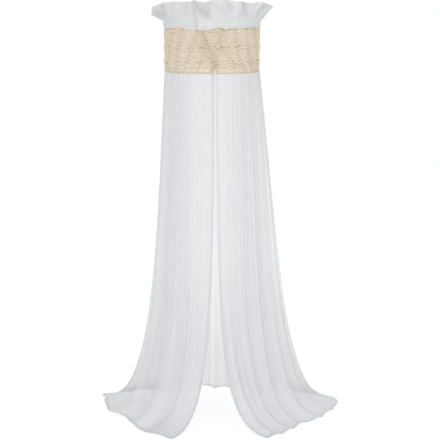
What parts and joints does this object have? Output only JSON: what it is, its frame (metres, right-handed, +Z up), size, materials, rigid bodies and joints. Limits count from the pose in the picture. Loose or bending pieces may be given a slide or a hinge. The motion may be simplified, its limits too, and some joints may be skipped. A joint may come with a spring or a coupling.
{
  "type": "bed crown canopy",
  "caption": "Sheer bed crown canopy: curtains gathered on a wall-held hoop, with a rippled frill, a crinkled band and two front panels that overlap at the crown, hang edge to edge and part to long tails.",
  "frame": {"origin": "middle of the wall plate's flat back face, level with the hoop", "axes": "+Y out of the back of the plate into the wall, -Y out towards the bed, +Z up, +X to the right of someone who faces the wall"},
  "size_m": [0.8789, 0.5211, 1.4691],
  "materials": {
    "voile": "sheer white voile, loosely woven, hangs in soft folds",
    "header": "the same white voile gathered double, so nearly opaque",
    "crinkle": "beige crinkled cotton, gathered in tiers",
    "tape": "narrow tan binding",
    "steel": "bright zinc-plated steel",
    "bracket": "satin white enamel",
    "block": "fine matt moulding, white"
  },
  "bodies": {
    "crown": {"wall_plate": "bracket", "bracket_column": "bracket", "hoop_block": "block", "centre_bolt": "steel", "clamp_screw_left": "steel", "clamp_screw_right": "steel", "hoop_pin": "steel", "hoop_left": "steel", "hoop_right": "steel", "casing_left": "header", "casing_right": "header", "frill_left": "header", "frill_right": "header", "band_left": "crinkle", "band_right": "crinkle", "band_binding_left": "tape", "band_binding_right": "tape", "rear_drape_left": "voile", "rear_drape_right": "voile"},
    "left_drape": {"front_drape_left": "voile"},
    "right_drape": {"front_drape_right": "voile"}
  },
  "joints": [
    {"name": "left_drape_parts", "type": "hinge", "parent": "crown", "child": "left_drape", "pos_m": [-0.124, -0.22, 0], "axis": [0, 1, 0], "range_deg": [0, 10]},
    {"name": "right_drape_parts", "type": "hinge", "parent": "crown", "child": "right_drape", "pos_m": [0.146, -0.22, 0], "axis": [0, -1, 0], "range_deg": [0, 10]}
  ]
}
